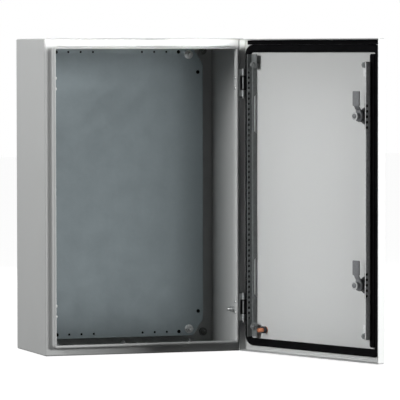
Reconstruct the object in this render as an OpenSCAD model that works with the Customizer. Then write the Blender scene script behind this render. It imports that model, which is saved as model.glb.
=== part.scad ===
// Wall-mounting sheet steel enclosure with a right-hung door.
// Every piece is drawn in cabinet coordinates: X to the right, Y up, Z out of the wall towards the
// room, with the origin at the centre of the back face. upright() then stands the cabinet up, so that
// the finished part has +Z up and its back face on the plane y = 0.

/* [Cabinet] */
// Overall width of the body
width = 400; // [300:5:800]
// Overall height of the body
height = 600; // [480:5:1200]
// Depth from the back face to the front of the closed door
depth = 210; // [175:5:400]
// Thickness of the body sheet
sheet = 1.5; // [1.2:0.1:2]
// Outer radius of the folded body edges
bend_r = 3; // [2.5:0.1:4]

/* [Front frame] */
// Width of the flange round the door opening
flange_w = 15; // [14:0.5:20]
// Height of the folded rain lip in front of the flange
lip_h = 10; // [9:0.5:12]
// Thickness of the doubled lip
lip_w = 5; // [4.5:0.1:7]
// Length of the lip's inner leg, which returns into the cabinet
lip_leg = 13; // [11:0.5:20]

/* [Door] */
// Opening angle at which the door is drawn
door_open = 110.5; // [0:0.5:130]
// Thickness of the door sheet
door_sheet = 1.5; // [1.2:0.1:1.5]
// How far the door face stands in front of the flange
door_proud = 18; // [18:0.1:19]
// Gap between the edge of the door return and the flange
door_tip_gap = 0.7; // [0.6:0.1:3]
// The same gap on the hinge side, where the return swings past the flange
hinge_tip_gap = 2.5; // [2.5:0.1:4]
// How much smaller the door is than the body, at each side
door_side_gap = 0.5; // [0.5:0.1:0.8]
// How much shorter the door is than the body, at top and bottom
door_end_gap = 1; // [0.5:0.1:3]
// Diameter of the drain and hanging holes in the top and bottom returns
return_hole_d = 7; // [4:0.5:8]

/* [Gasket] */
// Width of the foamed gasket bead
gasket_w = 14.5; // [12:0.1:14.6]
// Height of the foamed gasket bead
gasket_h = 6; // [4:0.1:6.2]
// How far the bead starts outside the rain lip
gasket_overlap = 7.5; // [6:0.1:7.5]
// The same at the top and bottom
gasket_end_overlap = 3; // [3:0.1:7.5]

/* [Hinges] */
// Distance from the body's top and bottom to the hinge centres
hinge_inset = 85; // [80:1:150]
// Diameter of the hinge pin
pin_d = 4; // [3:0.1:4.4]
// Outer diameter of the hinge knuckles
knuckle_d = 7; // [6.4:0.1:7.2]
// Height of each knuckle
knuckle_h = 11.8; // [8:0.1:12]

/* [Locks] */
// Distance from the body's top and bottom to the lock axes
lock_inset = 144; // [135:1:200]
// Distance from the perforated web of the rail to the lock axes
lock_offset = 20.2; // [19.2:0.1:28]
// Reach of the cam from the lock axis
cam_reach = 45; // [42:0.5:46]
// Width of the cam
cam_w = 17.5; // [12:0.5:22]

/* [Door rails] */
// Spacing of the holes in the rail
rail_pitch = 10; // [10:1:25]
// Diameter of the holes in the rail
rail_hole_d = 6; // [3:0.5:7]
// Distance from the rain lip to the perforated web
rail_clear = 11.1; // [11.1:0.1:13]
// Thickness of the rail sheet
rail_sheet = 1.5; // [1:0.1:1.5]

/* [Mounting plate] */
// Gap between the plate and the body's outside, at each side
plate_side = 25; // [22:1:50]
// Gap between the plate and the body's outside, at top and bottom
plate_end = 17.5; // [15:0.5:40]
// Distance from the back face to the front of the plate
plate_front = 16.6; // [12:0.1:40]
// Thickness of the plate
plate_t = 2; // [1.5:0.5:3]
// Spacing of the small holes along the plate's ends
plate_pitch = 25; // [20:1:40]

/* [Wall fixing] */
// Diameter of the wall-fixing holes
wall_hole_d = 8.5; // [6:0.5:10]
// Distance from the body's side to the wall-fixing holes
wall_hole_side = 20; // [18:0.5:22]
// Distance from the body's end to the wall-fixing holes
wall_hole_end = 23; // [20:0.5:26]

/* [Gland plate] */
// Width of the cable entry opening in the bottom
gland_w = 250; // [100:5:260]
// Depth of the cable entry opening in the bottom
gland_d = 90; // [50:5:95]

/* [Hidden] */
$fn = 64;
eps = 0.01;

// Running and seating clearances
pin_play = 0.06;
thread_play = 0.05;
seat = 0.2;

// Levels along Z
flange_z = depth - door_proud;
door_in_z = depth - door_sheet;
return_z = flange_z + door_tip_gap;
hinge_z = flange_z + 9;

// Distances along X and Y from the cabinet's centre
half_w = width / 2;
half_h = height / 2;
door_x = half_w - door_side_gap;
door_y = half_h - door_end_gap;
opening_x = half_w - flange_w - lip_w;
opening_y = half_h - flange_w - lip_w;
hinge_x = half_w - 6;
hinge_y = half_h - hinge_inset;
gasket_inset = flange_w - gasket_overlap - door_side_gap;
gasket_end_inset = flange_w - gasket_end_overlap - door_end_gap;
rail_inset = flange_w + lip_w + rail_clear - door_side_gap;
lock_x = door_x - rail_inset - lock_offset;
lock_y = half_h - lock_inset;
sides = [-1, 1];

// Folded lip
lip_corner_r = 6;
lip_bend_r = 2;
lip_x = half_w - flange_w + lip_bend_r;
lip_y = half_h - flange_w + lip_bend_r;
hem_r = lip_w / 2;

// Hinge
cut_half = 28;
leaf_half = 26;
leaf_t = 1.5;
arm_t = 2.6;
arm_gap = 0.3;
eye_r = 3.6;
bracket_t = 1.6;
hinge_screw_y = 10;
hinge_screw_z = flange_z + 4.5;
hinge_screw_d = 4;
hinge_screw_head_d = 7;
hinge_screw_head_h = 2.5;
pin_tip = 5;

// Lock
lock_hole_d = 22.5;
barrel_d = 22;
barrel_h = 17;
rim_d = 28;
rim_h = 3;
insert_d = 12;
lock_nut_af = 27;
lock_nut_h = 5.5;
cam_t = 3;
cam_low = barrel_h + seat;
cam_high = 21.5;
cam_hub_r = 10.2;
cam_neck_w = 14;
cam_neck_y = 17.6;
boss_af = 12;
boss_top = 27.5;
drive_sq = 7;
cam_bolt_d = 5;
cam_bolt_len = 12;
cam_bolt_af = 8;
cam_washer_d = 12.5;
cam_washer_t = 1.2;

// Door rail, as heights above the inside of the door
rail_low = 10;
rail_top = 19.5;
rail_hole_h = 15.5;
rail_ledge = 6.6;
rail_end = 29;
lock_rail_end = 43;
rail_plain = 30;
rail_tab = 10.4;
rail_tab_len = 27;
rail_stud_end = 20;
rail_stud_in = 9.9;
rail_notch_h = 6.6;
rail_notch_len = 66;
rail_half = door_y - rail_end;
lock_rail_half = door_y - lock_rail_end;
rail_holes = floor((2 * (rail_half - rail_plain) - rail_hole_d) / rail_pitch) + 1;

// Gasket and lock-side seal
gasket_shoulder_r = 4;
seal_gap = 0.6;
seal_w = 13.2;
seal_h = 5.6;
seal_step = 0.8;
seal_x = door_x - gasket_inset - gasket_w - seal_gap - seal_w / 2;

// Mounting plate
plate_x = half_w - plate_side;
plate_y = half_h - plate_end;
plate_cut_x = 21;
plate_cut_y = 32;
plate_stud_x = plate_x - 29.5;
plate_stud_y = plate_y - 13;
plate_stud_d = 8;

// Wall fixing
wall_x = half_w - wall_hole_side;
wall_y = half_h - wall_hole_end;

// Gland plate
gland_border = 20;
gland_z = flange_z / 2 + 9;
gland_gasket_t = 2;
gland_t = 2;
gland_stud_d = 6;

// Earth studs
body_earth_z = flange_z - 60;
body_earth_y = -half_h + 76;
door_earth_x = door_x - 62;
door_earth_y = -half_h + 44;

// Colours
paint = [0.80, 0.81, 0.80];
galvanised = [0.50, 0.53, 0.55];
zinc = [0.66, 0.67, 0.66];
black = [0.06, 0.06, 0.06];
copper = [0.80, 0.42, 0.25];

// Stands the cabinet up: Y becomes up and Z points to the room.
module upright() {
    rotate([90, 0, 0]) children();
}

// Carries the door's pieces, which are drawn with the door closed.
module on_door() {
    upright()
        translate([hinge_x, 0, hinge_z]) rotate([0, door_open, 0]) translate([-hinge_x, 0, -hinge_z])
            children();
}

// A place on the inside of the door, with Z pointing away from the sheet and Y still up.
module inside_door(x, y) {
    translate([x, y, door_in_z]) rotate([0, 180, 0]) children();
}

// A rectangle with round corners, given by its half sizes.
module round_rect(x, y, r) {
    square([2 * x, 2 * (y - r)], center = true);
    square([2 * (x - r), 2 * y], center = true);
    for (i = sides, j = sides) translate([i * (x - r), j * (y - r)]) circle(r);
}

// A flat ring between two rounded rectangles.
module round_ring(x, y, r, w) {
    difference() {
        round_rect(x, y, r);
        round_rect(x - w, y - w, max(r - w, 0.5));
    }
}

// Runs a profile round a rounded rectangle. The profile's X is the distance inwards from the edge.
module frame_sweep(x, y, r) {
    for (i = [0, 1]) rotate([0, 0, 180 * i]) {
        translate([-x, 0, 0]) rotate([90, 0, 0]) linear_extrude(2 * (y - r), center = true) children();
        translate([0, -y, 0]) rotate([90, 0, 90]) linear_extrude(2 * (x - r), center = true) children();
    }
    for (i = sides, j = sides)
        translate([i * (x - r), j * (y - r), 0])
            rotate([0, 0, i > 0 ? (j > 0 ? 0 : 270) : (j > 0 ? 90 : 180)])
                rotate_extrude(angle = 90) translate([r, 0]) mirror([1, 0]) children();
}

// A quarter of a ring, filling the corner that points to -X and +Y.
module quarter_bend(r, t) {
    intersection() {
        translate([r, -r]) difference() {
            circle(r);
            circle(r - t);
        }
        translate([0, -r]) square(r);
    }
}

module hexagon(af, h) {
    cylinder(h = h, d = af / cos(30), $fn = 6);
}

module hex_nut(af, h, bore) {
    difference() {
        hexagon(af, h);
        translate([0, 0, -eps]) cylinder(h = h + 2 * eps, d = bore);
    }
}

module washer(d, bore, t) {
    difference() {
        cylinder(h = t, d = d);
        translate([0, 0, -eps]) cylinder(h = t + 2 * eps, d = bore);
    }
}

// A stud with chamfered end.
module stud(d, h) {
    cylinder(h = h - 1, d = d);
    translate([0, 0, h - 1]) cylinder(h = 1, d1 = d, d2 = d - 1.6);
}

// ---- Body ----

// Points along an arc, from one angle to another.
function arc(x, y, r, from, to, steps) =
    [for (i = [0 : steps]) let (a = from + (to - from) * i / steps) [x + r * cos(a), y + r * sin(a)]];

// A flat-topped bead with round shoulders, lying on the X axis.
module bead(w, h, r) {
    polygon(concat([[-w / 2, 0]], arc(r - w / 2, h - r, r, 180, 90, 4), arc(w / 2 - r, h - r, r, 90, 0, 4),
                   [[w / 2, 0]]));
}

// Section of the rain lip: it rises from the flange in a bend, and is folded back on itself.
module lip_profile() {
    out = lip_bend_r;
    mid = out + hem_r;
    top = lip_h - hem_r;
    polygon(concat(
        arc(0, lip_bend_r, lip_bend_r, 270, 360, 3),
        arc(mid, top, hem_r, 180, 0, 8),
        [[out + lip_w, lip_h - lip_leg], [out + lip_w - sheet, lip_h - lip_leg]],
        arc(mid, top, hem_r - sheet, 0, 180, 4),
        [[out + sheet, -sheet], [0, -sheet]]));
}

// The holes that fix a hinge to the lip, on both sides because the door can be hung from either.
module hinge_lip_holes() {
    for (i = sides, j = sides, k = sides)
        translate([i * (opening_x - 1), j * hinge_y + k * hinge_screw_y, hinge_screw_z])
            rotate([0, 90 * i, 0]) cylinder(h = lip_w + 2, d = hinge_screw_d + 0.4);
}

module body_shell() {
    color(paint) upright() difference() {
        union() {
            linear_extrude(flange_z - bend_r) round_ring(half_w, half_h, bend_r, sheet);
            translate([0, 0, flange_z]) {
                frame_sweep(half_w, half_h, bend_r) quarter_bend(bend_r, sheet);
                translate([0, 0, -sheet]) linear_extrude(sheet) difference() {
                    square([2 * (half_w - bend_r), 2 * (half_h - bend_r)], center = true);
                    round_rect(lip_x, lip_y, lip_corner_r + lip_bend_r);
                }
                frame_sweep(lip_x, lip_y, lip_corner_r + lip_bend_r) lip_profile();
            }
        }
        hinge_lip_holes();
        translate([-gland_w / 2, -half_h - 1, gland_z - gland_d / 2]) cube([gland_w, sheet + 2, gland_d]);
    }
}

module rear_panel() {
    color(paint) upright() linear_extrude(sheet) difference() {
        round_rect(half_w - sheet, half_h - sheet, bend_r - sheet);
        for (i = sides, j = sides) translate([i * wall_x, j * wall_y]) circle(d = wall_hole_d);
    }
}

// Rubber-faced washers round the wall-fixing holes.
module wall_seal_washers() {
    color(black) upright()
        for (i = sides, j = sides) translate([i * wall_x, j * wall_y, sheet])
            washer(16, wall_hole_d + 0.5, 2);
}

// ---- Mounting plate and its studs ----

module plate_corners() {
    for (i = sides, j = sides) translate([i * plate_stud_x, j * plate_stud_y]) children();
}

module plate_studs() {
    color(zinc) upright() plate_corners() {
        translate([0, 0, sheet]) cylinder(h = plate_front - plate_t - sheet, d = 14);
        translate([0, 0, plate_front - plate_t]) stud(plate_stud_d, plate_t + 13);
    }
}

module mounting_plate() {
    row_x = plate_stud_x - 20.5;
    row_y = plate_y - 8;
    color(galvanised) upright() translate([0, 0, plate_front - plate_t]) linear_extrude(plate_t)
        difference() {
            square([2 * plate_x, 2 * plate_y], center = true);
            for (i = sides, j = sides) scale([i, j])
                polygon([[plate_x + 1, plate_y + 1], [plate_x - plate_cut_x, plate_y + 1],
                         [plate_x - plate_cut_x, plate_y], [plate_x, plate_y - plate_cut_y],
                         [plate_x + 1, plate_y - plate_cut_y]]);
            plate_corners() circle(d = plate_stud_d + 1);
            for (i = sides, j = sides) {
                for (n = [1 : 3]) translate([i * (row_x - n * plate_pitch), j * row_y]) circle(d = 4.5);
                translate([i * row_x, j * row_y]) circle(d = 7.5);
                translate([i * (plate_x - 10), j * (plate_y - 47.5)]) circle(d = 7.5);
            }
        }
}

module plate_washers() {
    color(zinc) upright() plate_corners() translate([0, 0, plate_front])
        washer(17, plate_stud_d + 0.4, 1.6);
}

module plate_nuts() {
    color(zinc) upright() plate_corners() translate([0, 0, plate_front + 1.6])
        hex_nut(13, 6.5, plate_stud_d + 2 * thread_play);
}

// ---- Gland plate in the bottom ----

module gland_corners() {
    x = (gland_w + gland_border) / 2;
    z = (gland_d + gland_border) / 2;
    for (i = [-1, 0, 1], k = sides) translate([i * x, -half_h + sheet, gland_z + k * z])
        rotate([-90, 0, 0]) children();
}

module gland_outline(level, t) {
    translate([0, -half_h + sheet + level + t, gland_z]) rotate([90, 0, 0]) linear_extrude(t)
        round_rect(gland_w / 2 + gland_border, gland_d / 2 + gland_border, 5);
}

module gland_gasket() {
    color(black) upright() difference() {
        gland_outline(0, gland_gasket_t);
        translate([-gland_w / 2, -half_h, gland_z - gland_d / 2]) cube([gland_w, 10, gland_d]);
        gland_corners() translate([0, 0, -1]) cylinder(h = 10, d = gland_stud_d + 1);
    }
}

module gland_plate() {
    color(paint) upright() difference() {
        gland_outline(gland_gasket_t, gland_t);
        gland_corners() cylinder(h = 10, d = gland_stud_d + 0.6);
    }
}

module gland_studs() {
    color(zinc) upright() gland_corners() stud(gland_stud_d, 12);
}

module gland_nuts() {
    color(zinc) upright() gland_corners() translate([0, 0, gland_gasket_t + gland_t])
        hex_nut(10, 5, gland_stud_d + 2 * thread_play);
}

// ---- Earthing ----

module body_earth_place() {
    translate([half_w - sheet, body_earth_y, body_earth_z]) rotate([0, -90, 0]) children();
}

module body_earth_stud() {
    color(zinc) upright() body_earth_place() {
        cylinder(h = 2, d = 11);
        stud(6, 13);
    }
}

module body_earth_nut() {
    color(zinc) upright() body_earth_place() translate([0, 0, 2]) hex_nut(10, 5, 6 + 2 * thread_play);
}

module door_earth_stud() {
    color(copper) on_door() inside_door(door_earth_x, door_earth_y) {
        cylinder(h = 1.2, d = 13);
        stud(8, 19);
    }
}

module door_earth_nut() {
    color([0.25, 0.25, 0.26]) on_door() inside_door(door_earth_x, door_earth_y) translate([0, 0, 1.2])
        hex_nut(13, 6.5, 8 + 2 * thread_play);
}

// ---- Hinges ----

// Plugs close the unused hinge holes on the lock side.
module lip_hole_plugs() {
    color(zinc) upright() for (j = sides, k = sides)
        translate([-opening_x, j * hinge_y + k * hinge_screw_y, hinge_screw_z]) rotate([0, -90, 0]) {
            cylinder(h = lip_w, d = hinge_screw_d);
            translate([0, 0, -hinge_screw_head_h]) cylinder(h = hinge_screw_head_h, d = hinge_screw_head_d);
        }
}

module knuckle_place() {
    translate([hinge_x, 0, hinge_z]) rotate([-90, 0, 0]) children();
}

// The leaf that is screwed to the outside of the lip, with its two knuckles.
module hinge_leaf() {
    leaf_x = half_w - flange_w;
    low = leaf_half - knuckle_h;
    color(zinc) difference() {
        union() {
            translate([leaf_x, -leaf_half, flange_z + lip_bend_r + 0.1])
                cube([leaf_t, 2 * leaf_half, hinge_z + 1.2 - flange_z - lip_bend_r - 0.1]);
            for (j = sides) {
                translate([leaf_x, j > 0 ? low : -leaf_half, hinge_z - 0.5])
                    cube([hinge_x - leaf_x, knuckle_h, 1.7]);
                translate([0, j > 0 ? low : -leaf_half, 0]) knuckle_place()
                    cylinder(h = knuckle_h, d = knuckle_d);
            }
        }
        translate([0, -leaf_half - 1, 0]) knuckle_place()
            cylinder(h = 2 * leaf_half + 2, d = pin_d + 0.04);
        for (k = sides) translate([leaf_x - 1, k * hinge_screw_y, hinge_screw_z]) rotate([0, 90, 0])
            cylinder(h = leaf_t + 2, d = hinge_screw_d + 2 * thread_play);
    }
}

module hinge_leaf_upper() {
    upright() translate([0, hinge_y, 0]) hinge_leaf();
}

module hinge_leaf_lower() {
    upright() translate([0, -hinge_y, 0]) hinge_leaf();
}

module hinge_screws() {
    color(zinc) upright() for (j = sides, k = sides)
        translate([opening_x, j * hinge_y + k * hinge_screw_y, hinge_screw_z]) rotate([0, 90, 0]) {
            cylinder(h = lip_w + leaf_t, d = hinge_screw_d);
            translate([0, 0, -hinge_screw_head_h]) cylinder(h = hinge_screw_head_h, d = hinge_screw_head_d);
        }
}

// Captive pin: a head on the upper knuckle, and a tapered tip below the lower one.
module hinge_pin() {
    color(zinc) knuckle_place() {
        translate([0, 0, leaf_half]) cylinder(h = 1.3, d = pin_d + 2.4);
        translate([0, 0, -leaf_half - pin_tip + 2]) cylinder(h = 2 * leaf_half + pin_tip - 2, d = pin_d);
        translate([0, 0, -leaf_half - pin_tip]) cylinder(h = 2, d1 = pin_d - 2, d2 = pin_d);
    }
}

module hinge_pin_upper() {
    upright() translate([0, hinge_y, 0]) hinge_pin();
}

module hinge_pin_lower() {
    upright() translate([0, -hinge_y, 0]) hinge_pin();
}

// The door's half of a hinge: a plate in the cut-out of the return, a foot on the sheet and two arms
// that turn on the pin between the knuckles.
module hinge_bracket() {
    return_x = door_x - door_sheet;
    wall_low = hinge_z - 2.5;
    wall_high = depth - bend_r - 1.8;
    inner_bend = bend_r - door_sheet;
    plate_low = return_x - bracket_t;
    foot_x = door_x - gasket_inset + 0.4;
    arm_in = leaf_half - knuckle_h - arm_gap;
    color(black) difference() {
        union() {
            translate([return_x - eps, -cut_half + 0.4, wall_low])
                cube([door_sheet + eps, 2 * cut_half - 0.8, wall_high - wall_low]);
            rotate([90, 0, 0]) linear_extrude(2 * arm_in, center = true)
                polygon([[foot_x, door_in_z], [return_x - inner_bend, door_in_z],
                         [return_x, door_in_z - inner_bend], [return_x, wall_low],
                         [plate_low, wall_low], [plate_low, door_in_z - bracket_t],
                         [foot_x, door_in_z - bracket_t]]);
            for (j = sides) translate([0, j > 0 ? arm_in - arm_t : -arm_in, 0]) {
                knuckle_place() cylinder(h = arm_t, r = eye_r);
                translate([hinge_x, 0, wall_low])
                    cube([return_x - bracket_t / 2 - hinge_x, arm_t, wall_high - wall_low]);
            }
        }
        translate([0, -arm_in - 1, 0]) knuckle_place()
            cylinder(h = 2 * arm_in + 2, d = pin_d + 2 * pin_play);
    }
}

module hinge_bracket_upper() {
    on_door() translate([0, hinge_y, 0]) hinge_bracket();
}

module hinge_bracket_lower() {
    on_door() translate([0, -hinge_y, 0]) hinge_bracket();
}

// ---- Door ----

module door_profile() {
    depth_in = depth - return_z;
    quarter_bend(bend_r, door_sheet);
    translate([0, -depth_in]) square([door_sheet, depth_in - bend_r]);
}

module door_panel() {
    color(paint) on_door() difference() {
        translate([0, 0, depth]) {
            frame_sweep(door_x, door_y, bend_r) door_profile();
            translate([0, 0, -door_sheet]) linear_extrude(door_sheet)
                square([2 * (door_x - bend_r), 2 * (door_y - bend_r)], center = true);
        }
        // Room for the hinge side to swing past the flange
        translate([door_x - 2.5, -half_h, 0]) cube([3.5, height, flange_z + hinge_tip_gap]);
        // Room for the hinges in the return
        for (j = sides) translate([door_x - 2, j * hinge_y - cut_half, return_z - 1])
            cube([3, 2 * cut_half, depth - bend_r - 1.5 - return_z + 1]);
        // Lock holes
        for (j = sides) translate([-lock_x, j * lock_y, door_in_z - 1])
            cylinder(h = door_sheet + 2, d = lock_hole_d);
        // Drain and hanging holes
        for (i = sides) translate([i * (door_x - 20), 0, (return_z + door_in_z) / 2])
            rotate([90, 0, 0]) cylinder(h = 2 * door_y + 2, d = return_hole_d, center = true);
    }
}

// The gasket's profile lies on the inside of the door and rises towards -Z.
module door_gasket() {
    color(black) on_door() translate([0, 0, door_in_z])
        frame_sweep(door_x - gasket_inset, door_y - gasket_end_inset, 20)
            mirror([0, 1]) translate([gasket_w / 2, 0]) bead(gasket_w, gasket_h, gasket_shoulder_r);
}

module lock_side_seal() {
    color(black) on_door() inside_door(-seal_x, 0) {
        linear_extrude(seal_h - seal_step) round_rect(seal_w / 2, rail_half + 0.5, 4);
        translate([0, 0, seal_h - seal_step]) linear_extrude(seal_step)
            round_rect(seal_w / 2 - seal_step, rail_half + 0.5 - seal_step, 4 - seal_step);
    }
}

// A folded rail, drawn on the inside of the door with X towards the middle of the door and 0 at the web.
module rail(half) {
    notch_low = rail_notch_len / 2;
    floor_h = rail_low - rail_sheet;
    color(zinc) difference() {
        union() {
            rotate([90, 0, 0]) linear_extrude(2 * half, center = true) {
                translate([0, floor_h]) square([rail_sheet, rail_top - floor_h]);
                translate([0, floor_h]) square([rail_ledge, rail_sheet]);
                translate([rail_ledge - rail_sheet, 0]) square([rail_sheet, rail_low]);
            }
            for (j = sides) translate([rail_ledge / 2, j * (half - rail_tab_len / 2), floor_h])
                linear_extrude(rail_sheet) translate([0, -rail_tab_len / 2])
                    square([rail_ledge / 2 + rail_tab, rail_tab_len]);
        }
        for (n = [0 : rail_holes - 1])
            translate([-1, (n - (rail_holes - 1) / 2) * rail_pitch, rail_hole_h])
                rotate([0, 90, 0]) cylinder(h = rail_sheet + 2, d = rail_hole_d, $fn = 24);
        for (j = sides) translate([rail_ledge - rail_sheet - 1, j * lock_y, 0]) rotate([90, 0, 90])
            linear_extrude(rail_sheet + 2)
                polygon([[-notch_low - rail_notch_h, -1], [notch_low + rail_notch_h, -1],
                         [notch_low, rail_notch_h], [-notch_low, rail_notch_h]]);
        for (j = sides) translate([rail_stud_in, j * (rail_half - rail_stud_end), 0])
            cylinder(h = rail_top, d = 6.6);
    }
}

module hinge_side_rail() {
    on_door() inside_door(door_x - rail_inset, 0) rail(rail_half);
}

module lock_side_rail() {
    on_door() inside_door(-door_x + rail_inset, 0) mirror([1, 0, 0]) rail(lock_rail_half);
}

module rail_stud_places() {
    for (i = sides, j = sides)
        inside_door(i * (door_x - rail_inset - rail_stud_in), j * (rail_half - rail_stud_end)) children();
}

module rail_studs() {
    color(zinc) on_door() rail_stud_places() stud(6, 19);
}

module rail_nuts() {
    color(zinc) on_door() rail_stud_places() translate([0, 0, rail_low]) {
        washer(13, 6 + 2 * thread_play, 1.2);
        translate([0, 0, 1.2]) hex_nut(10, 5, 6 + 2 * thread_play);
    }
}

// ---- Locks ----

module lock_place(j) {
    inside_door(-lock_x, j * lock_y) children();
}

module lock_housing(j) {
    front = door_sheet + rim_h;
    color(black) on_door() lock_place(j) difference() {
        union() {
            translate([0, 0, -door_sheet]) cylinder(h = door_sheet + barrel_h, d = barrel_d);
            translate([0, 0, -front]) cylinder(h = 1, d1 = rim_d - 2, d2 = rim_d);
            translate([0, 0, 1 - front]) cylinder(h = rim_h - 1, d = rim_d);
        }
        translate([0, 0, -front - 1]) cylinder(h = front + barrel_h + 2, d = insert_d + 2 * pin_play);
        translate([0, 0, -front - eps]) cylinder(h = 1.6, d1 = insert_d + 5, d2 = insert_d + 1.8);
    }
}

// The nut is turned so that one flat lies along the rail.
module lock_nut(j) {
    color(black) on_door() lock_place(j) rotate([0, 0, 30])
        hex_nut(lock_nut_af, lock_nut_h, barrel_d + 2 * thread_play);
}

// The key insert turns in the housing. It has a double-bit socket in front and a square drive behind.
module key_insert(j) {
    front = door_sheet + rim_h - 1.8;
    color(zinc) on_door() lock_place(j) difference() {
        union() {
            translate([0, 0, -front]) cylinder(h = front + cam_low, d = insert_d);
            translate([-drive_sq / 2, -drive_sq / 2, cam_low - eps])
                cube([drive_sq, drive_sq, boss_top - seat - cam_low]);
        }
        translate([0, 0, -front - 1]) difference() {
            union() {
                cylinder(h = 9, d = 8.4);
                translate([-5.2, -1.5, 0]) cube([10.4, 3, 9]);
            }
            cylinder(h = 9, d = 3.4);
        }
        translate([0, 0, boss_top - cam_bolt_len - 2])
            cylinder(h = cam_bolt_len + 3, d = cam_bolt_d + 2 * thread_play);
    }
}

// A cranked cam: a hub on the square drive, and a raised tongue that reaches behind the flange.
module cam(j) {
    crank_y = cam_hub_r + 1.5;
    tongue = cam_reach - cam_neck_y;
    color([0.42, 0.43, 0.43]) on_door() lock_place(j) difference() {
        union() {
            translate([0, 0, cam_low]) cylinder(h = cam_t, r = cam_hub_r);
            translate([-cam_neck_w / 2, 0, 0]) rotate([90, 0, 90]) linear_extrude(cam_neck_w)
                polygon([[0, cam_low], [crank_y + cam_t, cam_low], [crank_y + cam_t, cam_high],
                         [cam_neck_y + 1, cam_high], [cam_neck_y + 1, cam_high + cam_t],
                         [crank_y, cam_high + cam_t], [crank_y, cam_low + cam_t], [0, cam_low + cam_t]]);
            translate([0, cam_neck_y + tongue / 2, cam_high]) linear_extrude(cam_t)
                round_rect(cam_w / 2, tongue / 2, 2.5);
            hexagon_boss();
        }
        translate([-(drive_sq + 0.1) / 2, -(drive_sq + 0.1) / 2, cam_low - 1])
            cube([drive_sq + 0.1, drive_sq + 0.1, boss_top - cam_low + 2]);
    }
}

module hexagon_boss() {
    translate([0, 0, cam_low]) hexagon(boss_af, boss_top - cam_low);
}

module cam_washer(j) {
    color(zinc) on_door() lock_place(j) translate([0, 0, boss_top])
        washer(cam_washer_d, cam_bolt_d + 0.4, cam_washer_t);
}

module cam_bolt(j) {
    color(zinc) on_door() lock_place(j) {
        translate([0, 0, boss_top - cam_bolt_len])
            cylinder(h = cam_bolt_len + cam_washer_t, d = cam_bolt_d);
        translate([0, 0, boss_top + cam_washer_t]) hexagon(cam_bolt_af, 3.5);
    }
}

module lock_housing_upper() { lock_housing(1); }
module lock_housing_lower() { lock_housing(-1); }
module lock_nut_upper() { lock_nut(1); }
module lock_nut_lower() { lock_nut(-1); }
module key_insert_upper() { key_insert(1); }
module key_insert_lower() { key_insert(-1); }
module cam_upper() { cam(1); }
module cam_lower() { cam(-1); }
module cam_washer_upper() { cam_washer(1); }
module cam_washer_lower() { cam_washer(-1); }
module cam_bolt_upper() { cam_bolt(1); }
module cam_bolt_lower() { cam_bolt(-1); }

body_shell();
rear_panel();
plate_studs();
mounting_plate();
plate_washers();
plate_nuts();
wall_seal_washers();
gland_gasket();
gland_plate();
gland_studs();
gland_nuts();
body_earth_stud();
body_earth_nut();
lip_hole_plugs();
hinge_leaf_upper();
hinge_leaf_lower();
hinge_screws();
hinge_pin_upper();
hinge_pin_lower();
door_panel();
door_gasket();
lock_side_seal();
hinge_side_rail();
lock_side_rail();
rail_studs();
rail_nuts();
hinge_bracket_upper();
hinge_bracket_lower();
door_earth_stud();
door_earth_nut();
lock_housing_upper();
lock_housing_lower();
lock_nut_upper();
lock_nut_lower();
key_insert_upper();
key_insert_lower();
cam_upper();
cam_lower();
cam_washer_upper();
cam_washer_lower();
cam_bolt_upper();
cam_bolt_lower();
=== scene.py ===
"""Visual model of the steel wall enclosure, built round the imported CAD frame."""

import math

import bmesh
import bpy
from mathutils import Matrix, Vector


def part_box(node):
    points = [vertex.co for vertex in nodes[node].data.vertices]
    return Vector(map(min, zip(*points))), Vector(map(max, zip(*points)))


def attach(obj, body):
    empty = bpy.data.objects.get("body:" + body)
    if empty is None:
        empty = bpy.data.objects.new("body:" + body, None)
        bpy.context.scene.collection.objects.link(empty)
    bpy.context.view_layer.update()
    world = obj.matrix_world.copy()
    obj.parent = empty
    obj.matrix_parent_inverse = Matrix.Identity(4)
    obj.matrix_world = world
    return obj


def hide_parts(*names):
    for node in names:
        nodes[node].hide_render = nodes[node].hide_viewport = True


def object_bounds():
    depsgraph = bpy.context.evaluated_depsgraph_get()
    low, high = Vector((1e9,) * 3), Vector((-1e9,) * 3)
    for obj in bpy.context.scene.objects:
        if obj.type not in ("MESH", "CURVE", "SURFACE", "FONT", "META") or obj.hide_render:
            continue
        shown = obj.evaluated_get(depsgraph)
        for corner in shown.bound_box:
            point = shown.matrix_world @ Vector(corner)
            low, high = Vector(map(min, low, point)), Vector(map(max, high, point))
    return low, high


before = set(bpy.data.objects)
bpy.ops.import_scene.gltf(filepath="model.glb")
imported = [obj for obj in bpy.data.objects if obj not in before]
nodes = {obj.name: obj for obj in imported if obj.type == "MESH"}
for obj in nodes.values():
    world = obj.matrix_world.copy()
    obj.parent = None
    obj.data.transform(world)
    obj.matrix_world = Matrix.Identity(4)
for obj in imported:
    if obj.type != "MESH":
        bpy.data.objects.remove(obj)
cad_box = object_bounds()
scene = bpy.context.scene
MM = 0.001


# ---- Materials ----

def new_material(name):
    mat = bpy.data.materials.new(name)
    mat.use_nodes = True
    tree = mat.node_tree
    tree.nodes.clear()
    out = tree.nodes.new("ShaderNodeOutputMaterial")
    shader = tree.nodes.new("ShaderNodeBsdfPrincipled")
    tree.links.new(shader.outputs[0], out.inputs[0])
    return mat, tree, shader


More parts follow.
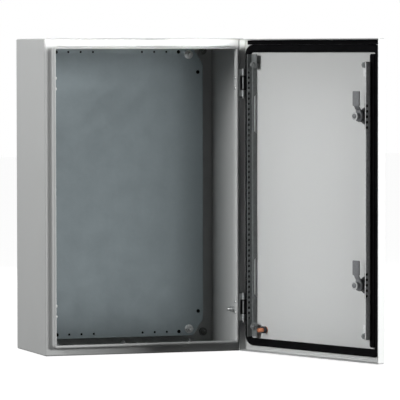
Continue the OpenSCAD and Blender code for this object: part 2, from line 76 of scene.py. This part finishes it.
class Graph:
    """Short hands for adding linked nodes to a material's tree."""

    def __init__(self, tree):
        self.tree = tree
        self.place = tree.nodes.new("ShaderNodeTexCoord").outputs["Object"]

    def link(self, a, b):
        self.tree.links.new(a, b)

    def mapped(self, scale):
        node = self.tree.nodes.new("ShaderNodeMapping")
        node.inputs["Scale"].default_value = scale
        self.link(self.place, node.inputs["Vector"])
        return node.outputs[0]

    def noise(self, scale, detail=2.0, rough=0.5, vector=None):
        node = self.tree.nodes.new("ShaderNodeTexNoise")
        node.inputs["Scale"].default_value = scale
        node.inputs["Detail"].default_value = detail
        node.inputs["Roughness"].default_value = rough
        self.link(vector if vector is not None else self.place, node.inputs["Vector"])
        return node.outputs[0]

    def cells(self, scale):
        node = self.tree.nodes.new("ShaderNodeTexVoronoi")
        node.inputs["Scale"].default_value = scale
        self.link(self.place, node.inputs["Vector"])
        return node

    def ranged(self, value, low, high, from_low=0.3, from_high=0.7):
        node = self.tree.nodes.new("ShaderNodeMapRange")
        node.inputs["From Min"].default_value = from_low
        node.inputs["From Max"].default_value = from_high
        node.inputs["To Min"].default_value = low
        node.inputs["To Max"].default_value = high
        self.link(value, node.inputs["Value"])
        return node.outputs[0]

    def ramp(self, value, stops):
        node = self.tree.nodes.new("ShaderNodeValToRGB")
        ramp = node.color_ramp
        while len(ramp.elements) < len(stops):
            ramp.elements.new(0.5)
        for element, (at, colour) in zip(ramp.elements, stops):
            element.position = at
            element.color = (*colour, 1)
        self.link(value, node.inputs["Fac"])
        return node.outputs["Color"]

    def mix(self, factor, a, b, mode="MIX"):
        node = self.tree.nodes.new("ShaderNodeMix")
        node.data_type = "RGBA"
        node.blend_type = mode
        for socket, value in ((node.inputs[0], factor), (node.inputs[6], a), (node.inputs[7], b)):
            if hasattr(value, "is_linked"):
                self.link(value, socket)
            elif isinstance(value, tuple):
                socket.default_value = (*value, 1)
            else:
                socket.default_value = value
        return node.outputs[2]

    def bump(self, height, strength, distance, normal=None):
        node = self.tree.nodes.new("ShaderNodeBump")
        node.inputs["Strength"].default_value = strength
        node.inputs["Distance"].default_value = distance
        self.link(height, node.inputs["Height"])
        if normal is not None:
            self.link(normal, node.inputs["Normal"])
        return node.outputs[0]

    def edge_wear(self, low, high):
        """Near 1 on sharp outer edges, 0 elsewhere."""
        geometry = self.tree.nodes.new("ShaderNodeNewGeometry")
        return self.ranged(geometry.outputs["Pointiness"], 0.0, 1.0, low, high)


def shade(colour, factor):
    return tuple(c * factor for c in colour)


def inner_shade_region(g):
    """1 on the inside of the body behind its front flange, where shade is painted, else 0; and the height."""
    split = g.tree.nodes.new("ShaderNodeSeparateXYZ")
    g.link(g.place, split.inputs[0])
    found = None
    for axis, limit, test in (("X", 0.1992, "LESS_THAN"), ("Z", 0.2992, "LESS_THAN"),
                              ("Y", 0.191, "LESS_THAN"), ("Y", 0.001, "GREATER_THAN")):
        size = g.tree.nodes.new("ShaderNodeMath")
        size.operation = "ABSOLUTE"
        g.link(split.outputs[axis], size.inputs[0])
        within = g.tree.nodes.new("ShaderNodeMath")
        within.operation = test
        within.inputs[1].default_value = limit
        g.link(size.outputs[0], within.inputs[0])
        if found is not None:
            both = g.tree.nodes.new("ShaderNodeMath")
            both.operation = "MULTIPLY"
            g.link(found, both.inputs[0])
            g.link(within.outputs[0], both.inputs[1])
            within = both
        found = within.outputs[0]
    return found, split.outputs["Z"]


def paint_material(name, colour, paint_inner_shade=False):
    """Powder coat: fine orange peel, faint cloudiness, slightly rubbed folds.

    paint_inner_shade paints shade onto the inner walls, darkest towards the top, where shade falls inside the
    box. It was fitted to the photograph's tones, and isn't a different coat that the photograph shows.
    """
    mat, tree, shader = new_material(name)
    g = Graph(tree)
    cloud = g.noise(7.0, 4.0)
    tone = g.ramp(cloud, [(0.3, shade(colour, 0.97)), (0.7, shade(colour, 1.02))])
    speck = g.ranged(g.noise(2600.0, 2.0, 0.6), 0.0, 0.06, 0.55, 0.75)
    tone = g.mix(speck, tone, shade(colour, 0.8))
    if paint_inner_shade:
        # Painted shade: inner walls darker, darkest towards the top, as shade falls inside the box
        inner, height = inner_shade_region(g)
        shade_towards_top = g.ranged(height, 0.0, 1.0, 0.08, 0.29)
        tone = g.mix(inner, tone, g.mix(shade_towards_top, shade(colour, 0.74), shade(colour, 0.4)))
    rubbed = g.edge_wear(0.54, 0.60)
    g.link(g.mix(rubbed, tone, shade(colour, 1.05)), shader.inputs["Base Color"])
    g.link(g.ranged(g.noise(60.0, 3.0), 0.6, 0.7), shader.inputs["Roughness"])
    peel = g.bump(g.noise(1900.0, 2.0, 0.6), 0.12, 0.0004)
    g.link(g.bump(g.noise(9.0, 2.0), 0.05, 0.002, peel), shader.inputs["Normal"])
    shader.inputs["Specular IOR Level"].default_value = 0.05
    return mat


def galvanised_material(name, colour):
    """Zinc-coated sheet: faint spangle and rolling streaks under a dull skin."""
    mat, tree, shader = new_material(name)
    g = Graph(tree)
    spangle = g.cells(150.0)
    grey = g.tree.nodes.new("ShaderNodeRGBToBW")
    g.link(spangle.outputs["Color"], grey.inputs[0])
    flakes = g.ramp(grey.outputs[0], [(0.2, shade(colour, 0.985)), (0.8, shade(colour, 1.015))])
    streak = g.noise(3.0, 5.0, 0.6, g.mapped((40.0, 40.0, 1.5)))
    tone = g.mix(g.ranged(streak, 0.0, 0.25), flakes, shade(colour, 0.92))
    cloud = g.ranged(g.noise(5.0, 4.0), 0.0, 0.3)
    g.link(g.mix(cloud, tone, shade(colour, 1.08)), shader.inputs["Base Color"])
    shader.inputs["Metallic"].default_value = 0.85
    g.link(g.ranged(g.noise(35.0, 3.0), 0.36, 0.46), shader.inputs["Roughness"])
    g.link(g.bump(streak, 0.02, 0.0003), shader.inputs["Normal"])
    return mat


def metal_material(name, colour, rough=(0.28, 0.42), brush=(900.0, 900.0, 60.0), metallic=1.0, wear=0.25):
    """Plated or cast metal: fine lines, blotches and brighter edges."""
    mat, tree, shader = new_material(name)
    g = Graph(tree)
    blotch = g.noise(220.0, 4.0, 0.6)
    tone = g.ramp(blotch, [(0.3, shade(colour, 0.8)), (0.7, shade(colour, 1.15))])
    edges = g.edge_wear(0.53, 0.62)
    tone = g.mix(g.mix(edges, (0, 0, 0), (wear, wear, wear)), tone, shade(colour, 1.6))
    g.link(tone, shader.inputs["Base Color"])
    shader.inputs["Metallic"].default_value = metallic
    lines = g.noise(1.0, 3.0, 0.6, g.mapped(brush))
    g.link(g.ranged(blotch, *rough), shader.inputs["Roughness"])
    g.link(g.bump(lines, 0.1, 0.0002), shader.inputs["Normal"])
    return mat


def plastic_material(name, colour, rough=(0.42, 0.55)):
    """Moulded or powder-coated black: fine texture with dusty highlights."""
    mat, tree, shader = new_material(name)
    g = Graph(tree)
    tone = g.ramp(g.noise(90.0, 4.0), [(0.3, shade(colour, 0.8)), (0.75, shade(colour, 1.5))])
    dust = g.edge_wear(0.53, 0.6)
    g.link(g.mix(dust, tone, shade(colour, 3.0)), shader.inputs["Base Color"])
    g.link(g.ranged(g.noise(140.0, 3.0), *rough), shader.inputs["Roughness"])
    g.link(g.bump(g.noise(1600.0, 2.0), 0.15, 0.0002), shader.inputs["Normal"])
    shader.inputs["Specular IOR Level"].default_value = 0.22
    return mat


def foam_material(name, colour):
    """Foamed polyurethane: skin with open pores and slow waves."""
    mat, tree, shader = new_material(name)
    g = Graph(tree)
    tone = g.ramp(g.noise(60.0, 4.0), [(0.3, shade(colour, 0.7)), (0.7, shade(colour, 1.6))])
    pores = g.cells(900.0)
    g.link(g.mix(g.ranged(pores.outputs["Distance"], 0.4, 0.0, 0.0, 0.4), tone, shade(colour, 0.4)),
           shader.inputs["Base Color"])
    g.link(g.ranged(g.noise(80.0, 3.0), 0.62, 0.8), shader.inputs["Roughness"])
    fine = g.bump(pores.outputs["Distance"], 0.3, 0.0003)
    g.link(g.bump(g.noise(160.0, 3.0), 0.4, 0.0006, fine), shader.inputs["Normal"])
    shader.inputs["Specular IOR Level"].default_value = 0.02
    return mat


PAINT = (0.56, 0.57, 0.565)
# The body's coat carries painted shade on its inner walls
paint = paint_material("powder_coat", PAINT, paint_inner_shade=True)
# The door gets the body's powder coat made 1.1 times lighter: painted light for the stronger light falling on
# the door
door_paint_lit = paint_material("powder_coat_door_painted_light", shade(PAINT, 1.1))
galvanised = galvanised_material("galvanised_sheet", (0.235, 0.275, 0.29))
zinc = metal_material("zinc_plate", (0.50, 0.51, 0.51))
ROLLED = (1200.0, 1200.0, 30.0)
# Shaded copy of the rail's zinc sheet for the hinge side: painted shade, as that rail lies in shadow by the
# cabinet
rail_zinc_shaded = metal_material("rail_sheet", (0.16, 0.17, 0.17), (0.42, 0.55), ROLLED, 0.5, 0.3)
cast = metal_material("cast_zinc", (0.16, 0.165, 0.17), (0.38, 0.5), (500.0, 500.0, 500.0), 0.8, 0.4)
dark_steel = metal_material("dark_steel", (0.07, 0.07, 0.075), (0.35, 0.5))
copper = metal_material("copper_plate", (0.72, 0.30, 0.17), (0.3, 0.42))
black = plastic_material("black_parts", (0.012, 0.012, 0.013))
plug_grey = plastic_material("grey_plugs", (0.15, 0.155, 0.15))
soft_zinc = metal_material("dull_zinc", (0.20, 0.21, 0.21), (0.45, 0.58), metallic=0.75)
# Lit copy of the rail's zinc sheet for the lock side: painted light
lock_rail_zinc_lit = metal_material("lock_rail_sheet", (0.74, 0.75, 0.75), (0.5, 0.62), ROLLED, 0.1, 0.1)
rubber = foam_material("foam_rubber", (0.004, 0.004, 0.0045))

BY_NODE = {
    "body_shell": paint, "rear_panel": paint, "gland_plate": paint, "door_panel": door_paint_lit,
    "mounting_plate": galvanised, "hinge_side_rail": rail_zinc_shaded, "lock_side_rail": lock_rail_zinc_lit,
    "door_gasket": rubber, "lock_side_seal": rubber, "gland_gasket": rubber, "wall_seal_washers": rubber,
    "door_earth_stud": copper, "door_earth_nut": dark_steel,
}
BY_PREFIX = {"hinge_bracket": black, "lock_housing": black, "lock_nut": black}


def material_for(name):
    if name in BY_NODE:
        return BY_NODE[name]
    for prefix, mat in BY_PREFIX.items():
        if name.startswith(prefix):
            return mat
    if name in ("cam_upper", "cam_lower"):
        return cast
    return soft_zinc if name.startswith(("hinge_", "rail_", "gland_")) else zinc


for name, obj in nodes.items():
    obj.data.materials.clear()
    obj.data.materials.append(material_for(name))
    for polygon in obj.data.polygons:
        polygon.material_index = 0


# ---- Forms that the detail pieces are made from, in mm ----

def stand(at, axis):
    """Stands local Z along an axis, at a point."""
    return Matrix.Translation(Vector(at)) @ Vector(axis).to_track_quat("Z", "Y").to_matrix().to_4x4()


def ring_radius(angle, radius, flats):
    """Radius of a ring, cut to a hexagon where flats is its width across."""
    if not flats:
        return radius
    turn_in = (angle % (math.pi / 3)) - math.pi / 6
    return min(radius, flats / 2 / math.cos(turn_in))


def lathe(bm, place, rings, segments=36, closed=False):
    """Turns rings of (radius, height) or (radius, height, flats), in mm, round the place's Z."""
    made = []
    for ring in rings:
        radius, height = ring[0], ring[1]
        flats = ring[2] if len(ring) > 2 else 0
        if radius == 0:
            made.append([bm.verts.new(place @ Vector((0, 0, height * MM)))])
            continue
        verts = []
        for i in range(segments):
            a = 2 * math.pi * i / segments
            r = ring_radius(a, radius, flats) * MM
            verts.append(bm.verts.new(place @ Vector((r * math.cos(a), r * math.sin(a), height * MM))))
        made.append(verts)
    pairs = list(zip(made, made[1:]))
    if closed:
        pairs.append((made[-1], made[0]))
    for a, b in pairs:
        for i in range(segments):
            j = (i + 1) % segments
            if len(a) == 1:
                bm.faces.new((a[0], b[j], b[i]))
            elif len(b) == 1:
                bm.faces.new((a[i], a[j], b[0]))
            else:
                bm.faces.new((a[i], a[j], b[j], b[i]))


def nut(bm, place, flats, low, height, bore):
    """A hexagon nut with both faces chamfered and a countersunk bore."""
    corner, face, cut = flats / 2 / math.cos(math.pi / 6), flats / 2, 0.12 * flats / 2
    high = low + height
    lathe(bm, place, [(bore + 0.4, low), (face * 0.97, low), (corner, low + cut, flats),
                      (corner, high - cut, flats), (face * 0.97, high), (bore + 0.4, high),
                      (bore, high - 0.4), (bore, low + 0.4)], closed=True)


def thread(bm, place, radius, low, high, pitch, depth=0.2):
    """A helical ridge round a stud."""
    per_turn, fading, root, half = 20, 6, radius - 0.1, pitch * 0.45
    steps = int((high - low) / pitch * per_turn)
    last = None
    for i in range(steps + 1):
        a, h = 2 * math.pi * i / per_turn, low + (high - low) * i / steps
        fade = min(1.0, i / fading, (steps - i) / fading)
        section = [(root, h - half), (radius + depth * fade, h), (root, h + half)]
        verts = [bm.verts.new(place @ Vector((r * math.cos(a) * MM, r * math.sin(a) * MM, z * MM)))
                 for r, z in section]
        if last:
            for k in range(3):
                bm.faces.new((last[k], last[(k + 1) % 3], verts[(k + 1) % 3], verts[k]))
        else:
            bm.faces.new(verts[::-1])
        last = verts
    bm.faces.new(last)


def plate_form(bm, place, outline, low, high, soft=0.35):
    """A flat piece of an outline in mm, with its edges broken."""
    n = len(outline)
    centre = Vector((sum(p[0] for p in outline) / n, sum(p[1] for p in outline) / n))
    rings = []
    for inset, level in ((soft, low), (0, low + soft), (0, high - soft), (soft, high)):
        ring = []
        for x, y in outline:
            away = Vector((x, y)) - centre
            p = centre + away * (1 - inset / max(away.length, 1.0))
            ring.append(bm.verts.new(place @ Vector((p.x * MM, p.y * MM, level * MM))))
        rings.append(ring)
    for a, b in zip(rings, rings[1:]):
        for i in range(n):
            bm.faces.new((a[i], a[(i + 1) % n], b[(i + 1) % n], b[i]))
    bm.faces.new(rings[0][::-1])
    bm.faces.new(rings[-1])


def piece(name, bm, body, material, replaces=()):
    """Makes the object, sharpens its hard edges and ties it to its body."""
    bmesh.ops.recalc_face_normals(bm, faces=bm.faces)
    for face in bm.faces:
        face.smooth = True
    for edge in bm.edges:
        if len(edge.link_faces) == 2 and edge.calc_face_angle(0.0) > math.radians(34):
            edge.smooth = False
    mesh = bpy.data.meshes.new(name)
    bm.to_mesh(mesh)
    bm.free()
    obj = bpy.data.objects.new(name, mesh)
    scene.collection.objects.link(obj)
    obj.data.materials.append(material)
    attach(obj, body)
    if replaces:
        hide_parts(*replaces)


def rounded(x0, x1, y0, y1, r, steps=5):
    """Outline of a rectangle with round corners, in mm."""
    points = []
    corners = ((x1 - r, y1 - r, 0), (x0 + r, y1 - r, 90), (x0 + r, y0 + r, 180), (x1 - r, y0 + r, 270))
    for cx, cy, start in corners:
        for i in range(steps + 1):
            a = math.radians(start + 90 * i / steps)
            points.append((cx + r * math.cos(a), cy + r * math.sin(a)))
    return points


# The open door's own axes: X to its free edge, Y up, Z away from its inside face
OPEN = math.radians(110.5)
HINGE_X, HINGE_Z, SHEET_Z = 194.0, 201.0, 208.5
COS, SIN = math.cos(OPEN), math.sin(OPEN)
door_axes = Matrix(((-COS, 0, -SIN), (-SIN, 0, COS), (0, 1, 0)))


def on_door(x, up):
    """A place on the inside of the door, given in mm as on the closed door."""
    dx, dz = x - HINGE_X, SHEET_Z - HINGE_Z
    at = Vector((HINGE_X + dx * COS + dz * SIN, -(HINGE_Z - dx * SIN + dz * COS), up)) * MM
    return Matrix.Translation(at) @ door_axes.to_4x4()


# ---- Detail pieces, at the places that part.scad gives ----

SIDES = (-1, 1)
CORNERS = [(i, j) for i in SIDES for j in SIDES]
FRONT = (0, -1, 0)
WALL_HOLE_X, WALL_HOLE_Z = 0.180, 0.277
LIP_SCREW_X, LIP_SCREW_Y, LIP_SCREW_Z, LIP_SCREW_STEP = 0.180, -0.1965, 0.215, 0.010
PLATE_STUD_X, PLATE_STUD_Z, PLATE_FACE = 0.1455, 0.2695, 16.6
BODY_EARTH = (0.1985, -0.132, -0.224)
GLAND_X, GLAND_Y, GLAND_STEP_Y, GLAND_Z = 0.135, -0.105, 0.055, -0.2985
DOOR_EARTH_X, DOOR_EARTH_UP = 137.5, -256
RAIL_STUD_X, RAIL_STUD_UP, RAIL_WEB_X = 159.0, 250.0, -168.9
LOCK_X, LOCK_UP = -148.7, 156.0
M6_BORE, M8_BORE = 3.05, 4.05

# Grey plugs for the wall holes, which are open in the CAD
bm = bmesh.new()
for i, j in CORNERS:
    lathe(bm, stand((WALL_HOLE_X * i, 0, WALL_HOLE_Z * j), FRONT),
          [(0, 0.4), (4.1, 0.4), (4.1, 3.55), (7.5, 3.55), (7.9, 3.9), (7.6, 4.4), (4.9, 4.6), (4.4, 4.9),
           (4.1, 5.9), (3.2, 6.7), (1.8, 7.1), (0, 7.2)])
piece("wall_hole_plugs", bm, "cabinet", plug_grey)

# Hinge screws and the plugs of the unused holes
BUTTON = [(3.45, 0), (3.5, 0.5), (3.25, 1.4), (2.7, 2.0), (2.0, 2.35), (1.45, 2.45), (1.25, 2.3, 2.2),
          (1.2, 1.1, 2.1), (0, 1.0)]
for name, side, length, node in (("hinge_screw_set", 1, 6.5, "hinge_screws"),
                                 ("lip_plug_set", -1, 5.0, "lip_hole_plugs")):
    bm = bmesh.new()
    shank = [(0, -length), (1.6, -length), (1.95, -length + 0.4), (1.95, 0)]
    for j, k in CORNERS:
        at = (LIP_SCREW_X * side, LIP_SCREW_Y, LIP_SCREW_Z * j + LIP_SCREW_STEP * k)
        lathe(bm, stand(at, (-side, 0, 0)), shank + BUTTON)
    piece(name, bm, "cabinet", zinc, (node,))

# Nuts, and the threads of their studs
bm = bmesh.new()
for i, j in CORNERS:
    place = stand((PLATE_STUD_X * i, 0, PLATE_STUD_Z * j), FRONT)
    nut(bm, place, 13, 18.2, 6.5, M8_BORE)
    thread(bm, place, 4.0, 25.0, 28.4, 1.25)
piece("plate_nut_set", bm, "cabinet", zinc, ("plate_nuts",))

bm = bmesh.new()
place = stand(BODY_EARTH, (-1, 0, 0))
nut(bm, place, 10, 2.0, 5.0, M6_BORE)
thread(bm, place, 3.0, 7.3, 11.8, 1.0)
piece("body_earth_nut_set", bm, "cabinet", zinc, ("body_earth_nut",))

bm = bmesh.new()
for i in (-1, 0, 1):
    for k in SIDES:
        place = stand((GLAND_X * i, GLAND_Y - GLAND_STEP_Y * k, GLAND_Z), (0, 0, 1))
        nut(bm, place, 10, 4.0, 5.0, M6_BORE)
piece("gland_nut_set", bm, "cabinet", soft_zinc, ("gland_nuts",))

bm = bmesh.new()
place = on_door(DOOR_EARTH_X, DOOR_EARTH_UP)
nut(bm, place, 13, 1.2, 6.5, M8_BORE)
piece("door_earth_nut_piece", bm, "door", dark_steel, ("door_earth_nut",))
bm = bmesh.new()
thread(bm, place, 4.0, 8.0, 17.6, 1.25)
piece("door_earth_thread", bm, "door", copper)

bm = bmesh.new()
for i, j in CORNERS:
    place = on_door(RAIL_STUD_X * i, RAIL_STUD_UP * j)
    lathe(bm, place, [(M6_BORE, 10.0), (6.3, 10.0), (6.5, 10.2), (6.5, 11.0), (6.3, 11.2), (M6_BORE, 11.2)],
          closed=True)
    nut(bm, place, 10, 11.2, 5.0, M6_BORE)
    thread(bm, place, 3.0, 16.5, 17.8, 1.0)
piece("rail_nut_set", bm, "door", soft_zinc, ("rail_nuts",))

# Cams, their washers and screws
SCREW_HEAD = [(ring[0] * 1.32, 28.9 + ring[1] * 1.2, *(flats * 1.5 for flats in ring[2:])) for ring in BUTTON]
for word, j in (("upper", 1), ("lower", -1)):
    place = on_door(LOCK_X, LOCK_UP * j)
    bm = bmesh.new()
    lathe(bm, place, [(3.6, 17.2), (9.8, 17.2), (10.2, 17.6), (10.2, 19.8), (9.8, 20.2), (6.6, 20.4),
                      (6.4, 26.6), (6.0, 27.4), (3.6, 27.4)], closed=True)
    neck = []
    for y, low, half in ((5.0, 17.25, 6.6), (11.0, 17.4, 6.4), (14.0, 19.6, 6.2), (19.0, 22.6, 6.0),
                         (22.0, 23.0, 6.0)):
        section = ((-half, low + 0.3), (-half + 0.3, low), (half - 0.3, low), (half, low + 0.3),
                   (half, low + 2.6), (half - 0.3, low + 2.9), (-half + 0.3, low + 2.9), (-half, low + 2.6))
        neck.append([bm.verts.new(place @ (Vector((x, y, h)) * MM)) for x, h in section])
    for a, b in zip(neck, neck[1:]):
        for k in range(8):
            bm.faces.new((a[k], a[(k + 1) % 8], b[(k + 1) % 8], b[k]))
    bm.faces.new(neck[0][::-1])
    bm.faces.new(neck[-1])
    plate_form(bm, place, rounded(-8.75, 8.75, 18.8, 46.0, 1.6), 23.0, 26.0)
    plate_form(bm, place, rounded(-6.6, 6.6, 21.5, 43.4, 1.2), 25.9, 26.35, 0.2)
    piece("cam_%s_shape" % word, bm, "lock_" + word, cast, ("cam_" + word,))
    bm = bmesh.new()
    lathe(bm, place, [(2.7, 27.5), (7.1, 27.5), (7.5, 27.9), (7.5, 29.0), (7.1, 29.4), (6.0, 29.4),
                      (5.6, 28.9), (2.7, 28.9)], closed=True)
    piece("cam_%s_ring" % word, bm, "lock_" + word, zinc, ("cam_washer_" + word,))
    bm = bmesh.new()
    lathe(bm, place, [(0, 15.6), (2.4, 15.6), (2.5, 15.9), (2.5, 28.9)] + SCREW_HEAD)
    piece("cam_%s_screw" % word, bm, "lock_" + word, cast, ("cam_bolt_" + word,))

# Black discs that close the mounting plate's holes: painted shade, standing in for the dark space behind
# them, so that they render as dark as in the photograph. The holes are open there and in the CAD: leave this
# piece out to use the holes.
bm = bmesh.new()
plate_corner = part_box("mounting_plate")[1] / MM
row_x, row_z = plate_corner.x - 50.0, plate_corner.z - 8.0
plate_holes = [(plate_corner.x - 10.0, plate_corner.z - 47.5, 3.7), (row_x, row_z, 3.7)]
plate_holes += [(row_x - n * 25.0, row_z, 2.2) for n in (1, 2, 3)]
for i, j in CORNERS:
    for x, z, r in plate_holes:
        lathe(bm, stand((x * i * MM, 0, z * j * MM), FRONT),
              [(0, PLATE_FACE - 1.9), (r - 0.05, PLATE_FACE - 1.9), (r - 0.05, PLATE_FACE - 1.1),
               (r * 0.7, PLATE_FACE - 1.3), (0, PLATE_FACE - 1.35)], 24)
piece("plate_hole_painted_shade", bm, "cabinet", rubber)

# Black foam over the sheet above the gasket's top run, which lies too low in the CAD
bm = bmesh.new()
plate_form(bm, on_door(0, 0), rounded(-189, 189, 288.2, 296.2, 1.5), 0.02, 1.1, 0.2)
piece("gasket_top_foam", bm, "door", rubber)

# Strips at the lock rail: plain ones cover its holes away from the locks, where the photograph shows none,
# and black ones behind the holes beside the locks are painted shade, standing in for the dark seen through
# those holes
lengthwise = on_door(RAIL_WEB_X, 0) @ Matrix.Rotation(math.radians(90), 4, "Y")
for name, material, slot, low_face, spans in (
        ("lock_rail_backing", lock_rail_zinc_lit, "zinc", 0.15, ((-255.5, -180), (-132, 132), (180, 255.5))),
        ("lock_rail_hole_painted_shade", rubber, "rubber", -2.35, ((-179.8, -132.2), (132.2, 179.8)))):
    bm = bmesh.new()
    for low, high in spans:
        middle, half = (low + high) / 2, (high - low) / 2
        outline = [(-y, x) for x, y in rounded(middle - half, middle + half, 11.4, 19.3, 0.8)]
        plate_form(bm, lengthwise, outline, low_face, low_face + 0.8, 0.15)
    piece(name, bm, "door", material)

# Broken edges on the sheet-metal nodes
for name in ("mounting_plate", "hinge_side_rail", "lock_side_rail", "gland_plate",
             "hinge_leaf_upper", "hinge_leaf_lower", "hinge_bracket_upper", "hinge_bracket_lower"):
    bevel = nodes[name].modifiers.new("broken_edges", "BEVEL")
    bevel.width = 0.00022
    bevel.segments = 2
    bevel.limit_method = "ANGLE"
    bevel.angle_limit = math.radians(50)
    bevel.use_clamp_overlap = True

# ---- Camera, at the photograph's viewing angle ----

CAM_AT = Vector((-2.06803, -6.56346, 0.27460))
CAM_YAW, CAM_PITCH, CAM_ROLL = math.radians(18.865), math.radians(2.4094), math.radians(-0.0793)
cam_data = bpy.data.cameras.new("camera")
cam_data.sensor_width = 36.0
cam_data.lens = 36.0 * 3521.94 / 400.0  # focal length in pixels, over the 400 of the frame
cam_data.clip_end = 60.0
camera = bpy.data.objects.new("camera", cam_data)
scene.collection.objects.link(camera)
forward = Vector((math.sin(CAM_YAW) * math.cos(CAM_PITCH), math.cos(CAM_YAW) * math.cos(CAM_PITCH),
                  -math.sin(CAM_PITCH)))
right = Vector((math.cos(CAM_YAW), -math.sin(CAM_YAW), 0.0))
up = right.cross(forward)
turn = Matrix((right, up, -forward)).transposed()
camera.matrix_world = (Matrix.Translation(CAM_AT) @ turn.to_4x4()
                       @ Matrix.Rotation(CAM_ROLL, 4, "Z"))
scene.camera = camera

# ---- Floor, world and lights ----

def any_ray(tree, path):
    """1 for a camera, glossy or transmission ray, else 0."""
    found = path.outputs["Is Camera Ray"]
    for kind in ("Is Glossy Ray", "Is Transmission Ray"):
        larger = tree.nodes.new("ShaderNodeMath")
        larger.operation = "MAXIMUM"
        tree.links.new(found, larger.inputs[0])
        tree.links.new(path.outputs[kind], larger.inputs[1])
        found = larger.outputs[0]
    return found


def studio_white(name, keep):
    """White to the camera and to reflections, while the floor keeps part of its shadow."""
    mat = bpy.data.materials.new(name)
    mat.use_nodes = True
    tree = mat.node_tree
    tree.nodes.clear()
    out = tree.nodes.new("ShaderNodeOutputMaterial")
    mixed = tree.nodes.new("ShaderNodeMixShader")
    soft = tree.nodes.new("ShaderNodeBsdfDiffuse")
    glow = tree.nodes.new("ShaderNodeEmission")
    glow.inputs["Strength"].default_value = 1.18
    path = tree.nodes.new("ShaderNodeLightPath")
    seen = tree.nodes.new("ShaderNodeMath")
    seen.operation = "MULTIPLY"
    seen.inputs[1].default_value = keep
    albedo = tree.nodes.new("ShaderNodeMapRange")
    albedo.inputs["To Min"].default_value = 0.12
    albedo.inputs["To Max"].default_value = 0.8
    tree.links.new(path.outputs["Is Camera Ray"], albedo.inputs["Value"])
    tree.links.new(albedo.outputs[0], soft.inputs[0])
    tree.links.new(any_ray(tree, path), seen.inputs[0])
    tree.links.new(seen.outputs[0], mixed.inputs[0])
    tree.links.new(soft.outputs[0], mixed.inputs[1])
    tree.links.new(glow.outputs[0], mixed.inputs[2])
    tree.links.new(mixed.outputs[0], out.inputs[0])
    return mat


def floor_mesh(name, size, z):
    mesh = bpy.data.meshes.new(name)
    bm = bmesh.new()
    bmesh.ops.create_grid(bm, x_segments=8, y_segments=8, size=size)
    bmesh.ops.translate(bm, vec=(0, 0, z), verts=bm.verts)
    bm.to_mesh(mesh)
    bm.free()
    obj = bpy.data.objects.new(name, mesh)
    scene.collection.objects.link(obj)
    return obj


floor = floor_mesh("floor", 12.0, cad_box[0].z - 0.0005)
floor.data.materials.append(studio_white("floor_white", 0.82))

world = bpy.data.worlds.new("studio")
scene.world = world
world.use_nodes = True
wt = world.node_tree
wt.nodes.clear()
w_out = wt.nodes.new("ShaderNodeOutputWorld")
w_back = wt.nodes.new("ShaderNodeBackground")
w_path = wt.nodes.new("ShaderNodeLightPath")
w_back.inputs["Color"].default_value = (1, 1, 1, 1)
w_level = wt.nodes.new("ShaderNodeMapRange")
w_level.inputs["To Min"].default_value = 0.005
w_level.inputs["To Max"].default_value = 1.0
wt.links.new(any_ray(wt, w_path), w_level.inputs["Value"])
wt.links.new(w_level.outputs[0], w_back.inputs["Strength"])
wt.links.new(w_back.outputs[0], w_out.inputs[0])


def area_light(name, at, target, size, watts):
    data = bpy.data.lights.new(name, "AREA")
    data.shape = "RECTANGLE"
    data.size, data.size_y = size
    data.energy = watts
    obj = bpy.data.objects.new(name, data)
    scene.collection.objects.link(obj)
    obj.location = at
    aim = Vector(target) - Vector(at)
    obj.rotation_mode = "QUATERNION"
    obj.rotation_quaternion = aim.to_track_quat("-Z", "Y")
    return obj


MIDDLE = (0.05, -0.25, 0.0)


def spot_at(azimuth, elevation, reach=2.6):
    """A place round the object's middle, in degrees from straight in front."""
    a, e = math.radians(azimuth), math.radians(elevation)
    return (MIDDLE[0] + reach * math.sin(a) * math.cos(e), MIDDLE[1] - reach * math.cos(a) * math.cos(e),
            MIDDLE[2] + reach * math.sin(e))


area_light("right_key", spot_at(49, 11), MIDDLE, (0.9, 0.9), 94)
area_light("left_side", spot_at(-77, 22), MIDDLE, (0.9, 0.9), 41)
area_light("back_fill", spot_at(180, 15), MIDDLE, (1.2, 1.2), 52)
# A thin sheet of light along the top flange, too flat to reach the top
top_edge = area_light("top_edge", (-0.005, -0.75, 0.293), (-0.005, -0.2, 0.293), (0.42, 0.012), 0.03)
top_edge.data.spread = math.radians(3)
# A narrow beam, square on to the inside of the open door
low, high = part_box("door_panel")
door_middle = (low + high) / 2 + Vector((0, 0, -0.06))
inward = Vector((-SIN, COS, 0.0))
beam = area_light("door_beam", door_middle + inward * 1.4, door_middle, (0.34, 0.58), 0.19)
beam.data.spread = math.radians(14)

scene.view_settings.view_transform = "Standard"
